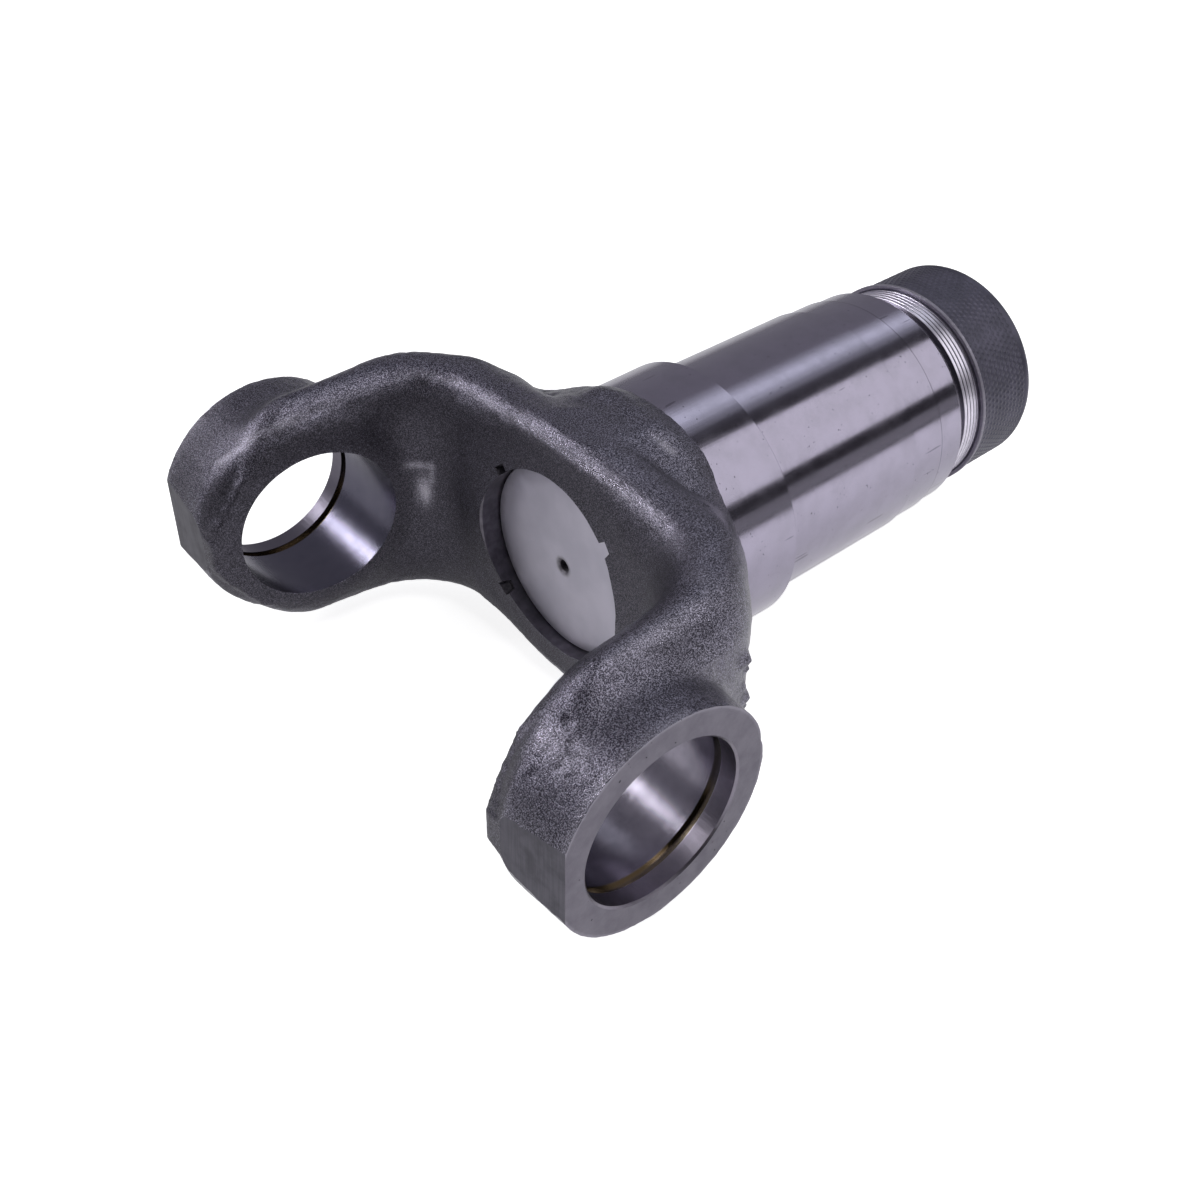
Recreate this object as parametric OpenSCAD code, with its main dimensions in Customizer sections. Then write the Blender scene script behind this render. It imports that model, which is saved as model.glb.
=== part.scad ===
// Forged slip yoke: two ears for a universal joint, a fork that joins them and a splined sleeve.
// The joint's centre is the origin. X runs along the shaft, Y through the cross bores, Z up.
// The forging was pressed in two dies that met at the plane z = 0, so one half mirrors the other.

/* [Cross bores] */
// Diameter of the two bores that hold the bearing cups
cup_bore_d = 30.16; // [26:0.02:34]
// Distance over the two machined ear faces
over_ears = 113.4; // [108:0.1:136]
// Distance between the outer walls of the two retaining ring grooves
over_grooves = 106.4; // [92:0.1:107]
// Width of a ring groove
groove_w = 1.6; // [0.8:0.1:3]
// Depth of a ring groove below the wall of its bore
groove_depth = 0.85; // [0.3:0.05:2]

/* [Ears] */
// Thickness of metal round a bore, at the machined face
ear_wall = 5.4; // [4:0.1:8]
// Growth of an ear's radius for each millimetre from its face towards the gap
ear_draft = 0.035; // [0:0.005:0.06]
// Radius of the round along an ear's inner edge
ear_edge_r = 5.5; // [4:0.1:7]
// Width of the gap between the ears, on the bores' axis
gap_w = 74.5; // [62:0.5:80]
// Lean of the ears' inner walls, which opens the gap towards the tips, in degrees
gap_lean = 7.5; // [3:0.5:10]
// Metal left between a bore and the trimmed flat on an ear's tip
tip_wall = 3.9; // [3:0.1:5]
// Lean of the trimmed flats, in degrees
tip_lean = 5; // [0:0.5:8]

/* [Fork] */
// Distance from the bores' axis to the base of the fork
fork_depth = 23.1; // [20:0.1:28]
// Radius of the corners between the arms and the base, seen from above
fork_corner_r = 10; // [8:0.5:13]
// Half of the arms' height
arm_h = 24.8; // [22:0.1:28]
// Half of the height where the arms turn into the base
corner_h = 25.4; // [22:0.1:28]
// Half of the base's height
base_h = 25.6; // [22:0.1:28]
// Radius of the arms' upper inner edge
arm_edge_r = 7.2; // [4:0.1:8.5]
// Radius of the base's upper inner edge
base_edge_r = 5.2; // [3:0.1:8]
// Draft of the base's inner wall, as a slope
base_draft = 0.1; // [0.02:0.01:0.12]

/* [Trimmed outline] */
// Distance from the shaft's axis to the arms' outer walls
arm_out = 48.6; // [46:0.1:52]
// Distance from the joint's centre to the slanting cut across each shoulder
shoulder_cut = 51.1; // [49:0.1:54]
// Direction in which that cut faces, in degrees from the shaft's axis
shoulder_turn = 41.4; // [38:0.1:45]
// Depth that the round at the corner of arm and shoulder takes off, seen from above
shoulder_round = 1.3; // [0:0.1:2]
// Radius of the arms' outer upper edge
outer_edge_r = 6.5; // [5:0.5:9]
// Half height of the trimmed wall along the arms
trim_h_arm = 14.5; // [10:0.5:20]
// Half height of the trimmed wall where it runs into the sleeve
trim_h_sleeve = 13.5; // [8:0.5:16]

/* [Hub] */
// Radius of the forged hub behind the fork
hub_r = 27.2; // [26.6:0.1:29]
// Distance from the joint's centre to where the hub starts to fall to the sleeve
hub_fall_x = 42; // [38:0.5:43]
// Length over which it falls
hub_fall = 9; // [8:0.5:12]

/* [Sleeve] */
// Diameter of the sleeve's first turned length
sleeve_d = 52.14; // [50:0.02:53]
// Distance from the joint's centre to the end of that length
sleeve_x = 60.8; // [56:0.1:70]
// Diameter of the long running length
barrel_d = 47.8; // [45:0.1:49]
// Length of the running length
barrel_len = 35.7; // [20:0.1:60]
// Depth of the fine step after the running length
barrel_step = 0.4; // [0.2:0.1:1]
// Length of the end that follows the fine step
end_len = 8.4; // [4:0.1:16]
// Diameter of the smooth neck behind it
neck_d = 46.2; // [44:0.1:46.8]
// Length of that neck
neck_len = 6.4; // [4:0.1:12]
// Length of the cone from the neck down to the thread
taper_len = 3.7; // [2:0.1:6]

/* [Thread neck] */
// Outside diameter of the thread that takes the dust cap
thread_d = 42.2; // [41:0.1:43]
// Pitch of that thread
thread_pitch = 1.6; // [1:0.1:2.5]
// Length of thread left bare in front of the cap
thread_bare = 4.8; // [2:0.1:10]
// Length of thread inside the cap
thread_in_cap = 9; // [6:0.1:12]

/* [Spline] */
// Number of teeth in the sleeve's bore
spline_teeth = 16; // [8:2:24]
// Diameter over the roots of the spaces
spline_major_d = 36.5; // [34:0.1:37.4]
// Diameter inside the teeth
spline_minor_d = 31.6; // [30:0.1:33]
// Share of a pitch that is cut away
spline_space = 0.52; // [0.45:0.01:0.6]

/* [Core plug] */
// Diameter of the plug and its seat in the base
plug_d = 37.6; // [37.5:0.1:40]
// Distance from the joint's centre to the plug's outer face
plug_x = 27.5; // [26:0.1:30]
// Thickness of the plug
plug_t = 2.2; // [1.5:0.1:4]
// Diameter of the vent hole in the plug
vent_d = 2.6; // [1:0.1:5]
// Distance by which that hole was punched below the plug's centre
vent_drop = 1.3; // [0:0.1:3]

/* [Dust cap] */
// Diameter over the knurled cap
cap_d = 43.4; // [43.2:0.1:46]
// Length of the cap
cap_len = 16.5; // [14:0.1:20]
// Height of the thin lip on the cap's open edge
cap_lip = 0.4; // [0.2:0.05:0.8]
// Width of that lip
cap_lip_w = 0.9; // [0.5:0.1:2]
// Thickness of the cap's end wall
cap_end_t = 1.6; // [1:0.1:3]
// Thickness of the flat washer inside the cap
washer_t = 1.2; // [0.8:0.1:2]
// Clearance between the shaft's spline and the rings in the cap
shaft_clear = 0.5; // [0.2:0.05:1]
// Clearance of rings and thread inside the cap
cap_clear = 0.05; // [0.02:0.01:0.2]

/* [Hidden] */
$fn = 96;

ear_face = over_ears/2;
ear_r = cup_bore_d/2 + ear_wall;
gap_slope = tan(gap_lean);
arm_in = gap_w/2;
corner_x = fork_depth - fork_corner_r;
corner_y = arm_in - gap_slope*corner_x - fork_corner_r;
// An arm rises out of its ear between these places, and turns into the corner between the next two
arm_start_x = -18;
arm_full_x = 0;
turn_start_x = 10;
turn_full_x = 24;
// Half thickness of the flash that is left on the tips and along the inner walls
flash_half = 1.4;
// Share of its ear's height at which an arm's crest starts
arm_root = 0.75;
// The base is level out to the first of these distances from the shaft's axis and ends at the second
base_level_y = 14;
base_end_y = 32;
// The trimmed wall changes its height between these two
trim_low_y = 27;
trim_high_y = 42;
// Behind the base the fork falls by this share, between these places along the shaft, and less
// towards the arms, between these distances from its axis
web_drop = 0.35;
web_start_x = 31;
web_end_x = 48;
web_end_y = 38;
web_full_y = 28;
// Length over which the fork runs out before the skin's end
run_out = 6;
skin_end_x = hub_fall_x + hub_fall;
// The hub starts inside the base and drops this far, ever faster, to under the sleeve
hub_start_x = 12;
hub_drop = 4.4;
hub_curve = 1.7;
// Sizes of the fillets between hub and fork and between ear and arm
blend = 5;
ear_blend = 4;

barrel_x = sleeve_x + barrel_len;
end_x = barrel_x + end_len;
neck_x = end_x + neck_len;
thread_x = neck_x + taper_len;
cap_x = thread_x + thread_bare;
neck_end_x = cap_x + thread_in_cap;
cap_end_x = cap_x + cap_len;
thread_pitch_r = thread_d/2 - 0.325*thread_pitch;
thread_depth = 0.5;
thread_core_r = thread_d/2 - thread_depth;
// The cap's thread starts this far inside its mouth
thread_lead = 0.3;
// Chamfer round the cap's end
cap_edge = 1;
// Length by which a cut runs past what it cuts
past = 1;
shaft_r = spline_major_d/2 + shaft_clear;
seal_x = neck_end_x + washer_t;
seal_t = cap_end_x - cap_end_t - seal_x;
space_w = spline_space*PI*spline_minor_d/spline_teeth;

function sq(a) = a*a;
function unit(t) = max(0, min(1, t));
function ease(t) = let(u = unit(t)) u*u*(3 - 2*u);
// The larger of two heights, with a fillet where they cross
function filleted(a, b, k) = max(a, b) + k*sq(max(0, 1 - abs(a - b)/k))/4;
// Rise of a quarter round at a share t of its radius
function quarter(t) = sqrt(max(0, 1 - sq(1 - unit(t))));

// 1 at the middle of the base, 0 along the arms
function in_base(y) = 1 - ease((abs(y) - base_level_y)/(base_end_y - base_level_y));

// Depth of a place inside the fork's inner wall, seen from above
function depth_in(x, y) =
    let(r = fork_corner_r,
        from_arm = y - wall_y(x),
        from_base = x - fork_depth)
    from_arm > -r && from_base > -r
        ? norm([max(from_arm + r, 0), max(from_base + r, 0)]) - r
        : max(from_arm, from_base);

// Depth of a place inside the trimmed outline, seen from above
function depth_out(x, y) =
    -filleted(y - arm_out, cos(shoulder_turn)*x + sin(shoulder_turn)*y - shoulder_cut,
        max(0.01, 4*shoulder_round));

// Height of the fork's crest over the parting plane
function crest(x, y) =
    let(out_of_ear = ease((x - arm_start_x)/(arm_full_x - arm_start_x)),
        root = arm_root*sqrt(max(0, sq(ear_r) - x*x)),
        arm = root + (arm_h - root)*out_of_ear
            + (corner_h - arm_h)*ease((x - turn_start_x)/(turn_full_x - turn_start_x)))
    arm + (base_h - arm)*in_base(y);

// Radius of an ear's boss; the dies' draft lets it grow towards the gap
function boss_r(y) = ear_r + ear_draft*(ear_face - y);

// What the round along its inner edge takes off that radius at a depth
function edge_loss(d) = ear_edge_r*(1 - quarter(d/ear_edge_r));

// Place along y of the ears' and arms' inner walls
function wall_y(x) = arm_in - gap_slope*x;

// Height of the forged hub, a round bar whose end falls to the sleeve
function hub(x, y) =
    let(r = hub_r - hub_drop*pow(unit((x - hub_fall_x)/hub_fall), hub_curve))
    x > hub_start_x ? sqrt(max(0, r*r - y*y)) : 0;

// Height of the fork itself, rounded down to the trimmed wall on its outer side
function fork(x, y) =
    let(high = crest(x, y),
        arm_share = ease((y - trim_low_y)/(trim_high_y - trim_low_y)),
        wall = min(high, trim_h_sleeve + (trim_h_arm - trim_h_sleeve)*arm_share),
        web = 1 - web_drop*ease((x - web_start_x)/(web_end_x - web_start_x))
            *ease((web_end_y - y)/(web_end_y - web_full_y)),
        top = wall + (high - wall)*quarter(depth_out(x, y)/outer_edge_r))
    top*web*ease((skin_end_x + past/2 - x)/run_out);

// Height of fork and hub at a place seen from above, with their inner wall's draft and round edge
function body(x, y) =
    let(top = filleted(hub(x, y), fork(x, y), blend),
        r = arm_edge_r + (base_edge_r - arm_edge_r)*in_base(y),
        draft = base_draft*in_base(y),
        wall_d = draft*(top - r),
        d = max(0, depth_in(x, y)))
    d < wall_d ? d/draft : top - r + r*quarter((d - wall_d)/r);

// Height of the forged skin, ears and all
function skin(x, y) =
    let(r = boss_r(y) - edge_loss(max(0, depth_in(x, y))),
        boss = sqrt(max(0, r*r - x*x)))
    y > corner_y && boss > 0 ? filleted(body(x, y), boss, ear_blend) : body(x, y);

// Rows run from the inner wall to the outer outline. The first go round an ear, then come the
// rows along the arm, round the corner and along the base.
ear_rows = 9;
arm_rows = 4;
corner_rows = 20;
base_rows = 7;
// The last rows lie this far from the shaft's axis, one on each side of it
middle_y = 3;
// Places along a row, close together on its two round edges
round_steps = 4;
mid_steps = 4;

// Shares of a row's length, for an inner wall that leans over wall_d and an edge of radius r
function along(length, wall_d, r) =
    let(free = length - wall_d,
        inner = min(r, 0.5*free),
        outer = min(outer_edge_r, 0.4*free),
        near = wall_d + inner,
        far = length - outer)
    concat([0],
        [for (k = [0:round_steps]) wall_d + inner*(1 - cos(90*k/round_steps))],
        [for (k = [1:mid_steps - 1]) near + (far - near)*k/mid_steps],
        [for (k = [0:round_steps]) far + outer*sin(90*k/round_steps)])/length;

// Round the ear, a row is a half-plane through the bore's axis; the first lies in the flash on the tip
tip_a = asin(flash_half/ear_r);
// Each row starts on the inner wall, at this share of its ear edge's distance from the bore's axis
wall_in = 0.95;
function ear_row(k) =
    let(a = tip_a + (90 - tip_a)*k/ear_rows,
        length = arm_out - wall_y(-ear_r*cos(a)),
        shares = along(length, 0, ear_edge_r))
    [for (j = [0:len(shares) - 1])
        let(t = shares[j],
            r = boss_r(arm_out - (1 - t)*length) - edge_loss(t*length),
            x = -r*cos(a),
            y = wall_y(x) + t*(arm_out - wall_y(x)))
        j == 0
            ? [wall_in*x, wall_y(wall_in*x), r*sin(a)/2]
            : [x, y, filleted(r*sin(a), body(x, y), ear_blend)]];

// A straight row from the inner wall to the outline
function fork_row(from, to) =
    let(b = in_base(from[1]),
        r = arm_edge_r + (base_edge_r - arm_edge_r)*b,
        wall_d = base_draft*b*(crest(from[0], from[1]) - r),
        shares = along(norm(to - from), wall_d, r))
    [for (j = [0:len(shares) - 1])
        let(p = from + (to - from)*shares[j])
        [p[0], p[1], j == 0 ? flash_half : skin(p[0], p[1])]];

// The outline: past the boss, along the arm's outer wall, down the slanting cut and across the hub
boss_end_r = boss_r(arm_out);
boss_from_a = asin(corner_x/boss_end_r);
boss_to_a = acos(flash_half/boss_end_r);
boss_rows = 6;
shoulder_top_x = (shoulder_cut - sin(shoulder_turn)*arm_out)/cos(shoulder_turn);
corner_turn = (90 + shoulder_turn)/2;
shoulder_end_y = (sleeve_d + past)/2;
shoulder_end_x = (shoulder_cut - sin(shoulder_turn)*shoulder_end_y)/cos(shoulder_turn);
shoulder_top = [shoulder_top_x, arm_out]
    - shoulder_round/sin(corner_turn)*[cos(corner_turn), sin(corner_turn)];
shoulder_end = [shoulder_end_x, shoulder_end_y];
hub_end = [skin_end_x, corner_y];
cut_len = norm(shoulder_end - shoulder_top);
across_len = norm(hub_end - shoulder_end);
free_rows = corner_rows - boss_rows - 1;
cut_rows = max(1, min(free_rows - 1, round(free_rows*cut_len/(cut_len + across_len))));
function on_outline(i) =
    i <= boss_rows
        ? [boss_end_r*sin(boss_from_a + (boss_to_a - boss_from_a)*i/boss_rows), arm_out]
        : i <= boss_rows + 1 + cut_rows
            ? shoulder_top + (shoulder_end - shoulder_top)*(i - boss_rows - 1)/cut_rows
            : shoulder_end + (hub_end - shoulder_end)*(i - boss_rows - 1 - cut_rows)
                /(free_rows - cut_rows);

half_rows = concat(
    [for (k = [0:ear_rows]) ear_row(k)],
    [for (i = [1:arm_rows])
        let(x = corner_x*i/arm_rows)
        fork_row([x, wall_y(x)], [x, arm_out])],
    [for (i = [1:corner_rows])
        let(a = 90*(1 - i/corner_rows))
        fork_row([corner_x + fork_corner_r*cos(a), corner_y + fork_corner_r*sin(a)], on_outline(i))],
    [for (i = [1:base_rows])
        let(y = corner_y + (middle_y - corner_y)*i/base_rows)
        fork_row([fork_depth, y], [skin_end_x, y])]);
last = len(half_rows) - 1;
grid = concat(half_rows,
    [for (i = [last:-1:0]) [for (p = half_rows[i]) [p[0], -p[1], p[2]]]]);
n_rows = len(grid);
n_cols = len(grid[0]);

// The outer end of each ear carries on the rows that end on its boss, from this far beyond them
boss_step = 0.4;
n_boss = ear_rows + arm_rows + boss_rows + 1;
boss_ys = [arm_out + boss_step, ear_face];
boss_ids = concat([for (i = [0:n_boss - 1]) i], [for (i = [n_rows - n_boss:n_rows - 1]) i]);
boss_points = [for (i = boss_ids) for (y = boss_ys)
    let(p = grid[i][n_cols - 1],
        f = p[0]/boss_end_r)
    [f*boss_r(y), sign(p[1])*y, boss_r(y)*sqrt(1 - f*f)]];

upper = concat([for (row = grid) each row], boss_points);
lower = [for (p = upper) [p[0], p[1], -p[2]]];

// Number of a point in a row; the last two of an ear's row lie on its outer end
function id(i, j) =
    j < n_cols
        ? i*n_cols + j
        : n_rows*n_cols + 2*(i < n_boss ? i : i - n_rows + 2*n_boss) + j - n_cols;
function patch(rows, cols) =
    [for (i = rows) for (j = cols)
        each [[id(i, j), id(i + 1, j + 1), id(i + 1, j)], [id(i, j), id(i, j + 1), id(i + 1, j + 1)]]];

// The forged skin: both die halves and the trimmed wall between them
module forged_skin() {
    below = len(upper);
    tops = concat(
        patch([0:n_rows - 2], [0:n_cols - 2]),
        patch([0:n_boss - 2], [n_cols - 1:n_cols]),
        patch([n_rows - n_boss:n_rows - 2], [n_cols - 1:n_cols]));
    far = n_rows - n_boss;
    rim = concat(
        [for (i = [0:n_rows - 1]) id(i, 0)],
        [for (j = [1:n_cols + 1]) id(n_rows - 1, j)],
        [for (i = [n_rows - 2:-1:far]) id(i, n_cols + 1)],
        [id(far, n_cols)],
        [for (i = [far:-1:n_boss - 1]) id(i, n_cols - 1)],
        [id(n_boss - 1, n_cols)],
        [for (i = [n_boss - 1:-1:0]) id(i, n_cols + 1)],
        [for (j = [n_cols:-1:1]) id(0, j)]);
    walls = [for (k = [0:len(rim) - 1])
        let(a = rim[k], b = rim[(k + 1) % len(rim)])
        each [[a, b, b + below], [a, b + below, a + below]]];
    polyhedron(concat(upper, lower),
        concat(tops, [for (f = tops) [f[2] + below, f[1] + below, f[0] + below]], walls));
}

// Turns a profile of [radius, x] points round the shaft's axis
module turned(profile) {
    rotate([0, 90, 0]) rotate_extrude() polygon(profile);
}

// A cylinder along the shaft
module rod(r, x0, x1) {
    translate([x0, 0, 0]) rotate([0, 90, 0]) cylinder(r = r, h = x1 - x0);
}

// The turned sleeve, from inside the hub to the end of the thread
module sleeve() {
    root_x = (plug_x + plug_t + hub_fall_x)/2;
    lead_x = cap_x - thread_lead;
    turned([[0, root_x], [sleeve_d/2, root_x], [sleeve_d/2, sleeve_x],
            [barrel_d/2, sleeve_x], [barrel_d/2, barrel_x],
            [barrel_d/2 - barrel_step, barrel_x], [barrel_d/2 - barrel_step, end_x],
            [neck_d/2, end_x], [neck_d/2, neck_x],
            [thread_core_r, thread_x], [thread_core_r, lead_x],
            [thread_pitch_r, lead_x], [thread_pitch_r, neck_end_x], [0, neck_end_x]]);
}

// The bore with its straight-sided spline
module spline_bore() {
    x0 = plug_x + plug_t - past;
    x1 = neck_end_x + past;
    rod(spline_minor_d/2, x0, x1);
    intersection() {
        rod(spline_major_d/2, x0, x1);
        for (i = [0:spline_teeth/2 - 1])
            rotate([360*i/spline_teeth, 0, 0])
                translate([x0, -space_w/2, -spline_major_d])
                    cube([x1 - x0, space_w, 2*spline_major_d]);
    }
}

// A cross bore with its ring groove, on the +Y side
module cross_bore() {
    rotate([-90, 0, 0]) {
        cylinder(d = cup_bore_d, h = ear_face + past);
        translate([0, 0, over_grooves/2 - groove_w])
            cylinder(r = cup_bore_d/2 + groove_depth, h = groove_w);
    }
}

// The trimmed flat on the tip of the +Y ear
module tip_trim() {
    translate([-cup_bore_d/2 - tip_wall, ear_face, 0])
        rotate([0, 0, -tip_lean])
            translate([-ear_r, -ear_face, -ear_face])
                cube([ear_r, ear_face + ear_r, 2*ear_face]);
}

module both_sides() {
    children();
    mirror([0, 1, 0]) children();
}

module yoke_forging() {
    color([0.35, 0.35, 0.4])
        difference() {
            union() {
                forged_skin();
                sleeve();
            }
            both_sides() cross_bore();
            both_sides() tip_trim();
            rod(plug_d/2, corner_x, plug_x + plug_t);
            spline_bore();
        }
}

module core_plug() {
    color([0.6, 0.6, 0.64])
        difference() {
            rod(plug_d/2, plug_x, plug_x + plug_t);
            translate([0, 0, -vent_drop]) rod(vent_d/2, plug_x - past, plug_x + plug_t + past);
        }
}

module dust_cap() {
    inner_r = thread_pitch_r + cap_clear;
    color([0.3, 0.29, 0.33])
        turned([[inner_r, cap_x], [cap_d/2 + cap_lip, cap_x],
                [cap_d/2 + cap_lip, cap_x + cap_lip_w], [cap_d/2, cap_x + cap_lip_w],
                [cap_d/2, cap_end_x - cap_edge], [cap_d/2 - cap_edge, cap_end_x],
                [shaft_r, cap_end_x], [shaft_r, cap_end_x - cap_end_t],
                [inner_r, cap_end_x - cap_end_t]]);
}

module cap_washer() {
    color([0.55, 0.55, 0.58])
        turned([[shaft_r, neck_end_x], [thread_pitch_r, neck_end_x],
                [thread_pitch_r, seal_x], [shaft_r, seal_x]]);
}

module cap_seal() {
    color([0.12, 0.12, 0.12])
        turned([[spline_major_d/2, seal_x], [thread_pitch_r, seal_x],
                [thread_pitch_r, seal_x + seal_t], [spline_major_d/2, seal_x + seal_t]]);
}

yoke_forging();
core_plug();
dust_cap();
cap_washer();
cap_seal();
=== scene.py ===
import math

import bmesh
import bpy
import numpy as np
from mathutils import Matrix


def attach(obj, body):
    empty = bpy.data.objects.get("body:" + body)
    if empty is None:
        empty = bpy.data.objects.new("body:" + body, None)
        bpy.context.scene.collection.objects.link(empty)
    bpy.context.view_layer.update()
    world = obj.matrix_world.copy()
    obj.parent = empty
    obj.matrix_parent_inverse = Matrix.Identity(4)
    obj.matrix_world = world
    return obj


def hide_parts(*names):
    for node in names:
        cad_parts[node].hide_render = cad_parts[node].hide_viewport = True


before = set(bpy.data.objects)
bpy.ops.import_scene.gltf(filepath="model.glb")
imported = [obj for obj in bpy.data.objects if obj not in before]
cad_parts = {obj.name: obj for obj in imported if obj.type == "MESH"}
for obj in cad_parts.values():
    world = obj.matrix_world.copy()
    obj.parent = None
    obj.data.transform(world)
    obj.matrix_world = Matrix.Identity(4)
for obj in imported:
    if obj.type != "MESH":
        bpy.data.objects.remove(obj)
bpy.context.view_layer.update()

import openvdb
from mathutils import Matrix, Vector

# The yoke forging: one piece of steel, pressed hot between two dies that met at z = 0, trimmed of
# its flash and left dark with scale. Its skin is worked out here as a solid field in millimetres,
# meshed, and then machined by the same cuts as the real one.
MM = 0.001
EAR_FACE, EAR_R, EAR_DRAFT = 56.7, 20.48, 0.035
GAP_HALF, GAP_SLOPE, EAR_EDGE = 37.25, math.tan(math.radians(7.5)), 5.5
FORK_DEPTH, CORNER_R, BASE_DRAFT = 23.1, 10.0, 0.1
ARM_H, CORNER_H, BASE_H, TRIM_H, EAR_CROWN = 24.8, 25.4, 25.6, 13.5, 0.75
ARM_OUT, SHOULDER_CUT, SHOULDER_TURN, OUTER_EDGE = 48.6, 51.1, math.radians(41.4), 6.5
ARM_EDGE, BASE_EDGE, SHOULDER_FILLET, HUB_FILLET, BOSS_FILLET = 7.2, 3.9, 5.2, 4.5, 3.0
HUB_R, HUB_START, HUB_END = 27.2, 14.0, 41.5
FORGED_FACE, FORGED_TOP, FORGED_TIP = 57.4, 27.5, -20.15
FIELD_CELL, FIELD_BAND, FIELD_SIDE, FIELD_TOP, FIELD_START, FIELD_END = 0.62, 3, 57.8, 30.4, -23.0, 52.6

across = np.arange(-FIELD_SIDE, FIELD_SIDE, FIELD_CELL, dtype=np.float32)
upward = np.arange(-FIELD_TOP, FIELD_TOP, FIELD_CELL, dtype=np.float32)
along = np.arange(FIELD_START, FIELD_END, FIELD_CELL, dtype=np.float32)
x = along[:, None, None]
side = across[None, :, None]
y = np.abs(side)
height = upward[None, None, :]
z = np.abs(height)


def ease(value, low, high):
    """0 at low, 1 at high, smooth between; high may be the smaller."""
    t = np.clip((value - low) / (high - low), 0, 1)
    return t * t * (3 - 2 * t)


def rounded_edge(a, b, radius):
    """The corner between two faces, with a round; a and b are distances outside each face."""
    near = np.minimum(-radius, np.maximum(a, b))
    return near + np.hypot(np.maximum(radius + a, 0), np.maximum(radius + b, 0))


def fillet(a, b, size):
    """Two solids run together with a fillet."""
    share = np.maximum(size - np.abs(a - b), 0) / size
    return np.minimum(a, b) - share * share * size / 4


# The fork's inner wall, with the corner into its base, and its outline as the trimming press cut it.
in_base = 1 - ease(y, 14, 32)
wall_y = GAP_HALF - GAP_SLOPE * x
off_arm = y - wall_y
off_base = x - FORK_DEPTH - BASE_DRAFT * z * in_base
corner = np.hypot(np.maximum(off_arm + CORNER_R, 0), np.maximum(off_base + CORNER_R, 0)) - CORNER_R
off_wall = np.where((off_arm > -CORNER_R) & (off_base > -CORNER_R), corner,
                    np.maximum(off_arm, off_base))
off_shoulder = SHOULDER_CUT - math.cos(SHOULDER_TURN) * x - math.sin(SHOULDER_TURN) * y
off_outline = fillet(ARM_OUT - y, off_shoulder, SHOULDER_FILLET)

# How high the fork's skin stands over the parting plane: the ears, the arms, their corners and the base.
out_of_ear = ease(x, -18, 0)
root = EAR_CROWN * np.sqrt(np.maximum(0, EAR_R ** 2 - x * x))
arm = root + (ARM_H - root) * out_of_ear + (CORNER_H - ARM_H) * ease(x, 10, 24)
crest = arm + (BASE_H - arm) * in_base
trimmed = np.minimum(crest - 0.5, TRIM_H + ease(y, 27, 42))
thinned = 1 - 0.35 * ease(x, 31, 48) * ease(y, 38, 28)
web = thinned * np.maximum(ease(x, 50.5, 44.5), 0.02)
over_crest = z / web - crest
fork = rounded_edge(over_crest * OUTER_EDGE / (crest - trimmed), -off_outline, OUTER_EDGE)

# The round hub, which ends unevenly round the sleeve, and the ears' bosses, all run together.
turn = np.arctan2(side, height)
hub_end = HUB_END + 2.6 * np.exp(-((np.degrees(turn) + 32) / 22) ** 2) + 1.2 * np.sin(3 * turn + 0.6)
hub_r = HUB_R - 4.4 * np.clip((x - hub_end) / 9, 0, 1.1) ** 1.7
hub = np.maximum(np.hypot(y, z) - hub_r, HUB_START - x)
body = fillet(fork, hub, HUB_FILLET)
edge_r = ARM_EDGE + (BASE_EDGE - ARM_EDGE) * in_base
body = rounded_edge(body, -off_wall, edge_r)

boss = np.hypot(x, z) - (EAR_R + EAR_DRAFT * (EAR_FACE - y))
boss = rounded_edge(boss, -off_arm, EAR_EDGE)
field = np.maximum(fillet(body, boss, BOSS_FILLET), y - FORGED_FACE)

grid = openvdb.FloatGrid()
near_field = np.clip(field, -FIELD_BAND, FIELD_BAND)
grid.copyFromArray(np.ascontiguousarray(near_field, dtype=np.float32))
corners, _, faces = grid.convertToPolygons(isovalue=0.0, adaptivity=0.0)
skin = np.column_stack([along[0] + corners[:, 0] * FIELD_CELL, across[0] + corners[:, 1] * FIELD_CELL,
                        upward[0] + corners[:, 2] * FIELD_CELL])
faces = faces.astype(np.int64)


def solid(name, points_mm, polygons, material=None):
    """A closed mesh object from points in millimetres, with its faces turned outwards."""
    mesh = bpy.data.meshes.new(name)
    mesh.from_pydata((np.asarray(points_mm) * MM).tolist(), [], [list(map(int, p)) for p in polygons])
    work = bmesh.new()
    work.from_mesh(mesh)
    bmesh.ops.recalc_face_normals(work, faces=work.faces)
    if work.calc_volume(signed=True) < 0:
        bmesh.ops.reverse_faces(work, faces=work.faces)
    work.to_mesh(mesh)
    work.free()
    mesh.update()
    if material:
        mesh.materials.append(material)
    piece = bpy.data.objects.new(name, mesh)
    bpy.context.scene.collection.objects.link(piece)
    return piece


def lumps(points, size, seed, cells=64):
    """Smooth random heights from -1 to 1, on hills of a given size, that repeat after so many cells."""
    heights = np.random.default_rng(seed).uniform(-1, 1, (cells, cells, cells))
    place = np.asarray(points) / size
    cell = np.floor(place).astype(int)
    part = place - cell
    part = part * part * (3 - 2 * part)
    total = np.zeros(len(place))
    for step in np.ndindex(2, 2, 2):
        share = np.prod(np.where(step, part, 1 - part), axis=1)
        total += share * heights[tuple(((cell + step) % cells).T)]
    return total


def at(points, centre, radius):
    """1 at a place, falling to 0 at a distance from it."""
    return np.exp(-np.sum(((points - centre) / radius) ** 2, axis=1))


def beside(points, first, second, width):
    """1 along a straight mark, falling to 0 beside it."""
    run = np.subtract(second, first)
    share = np.clip((points - first) @ run / (run @ run), 0, 1)
    return np.exp(-np.sum(((points - first - share[:, None] * run) / width) ** 2, axis=1))


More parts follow.
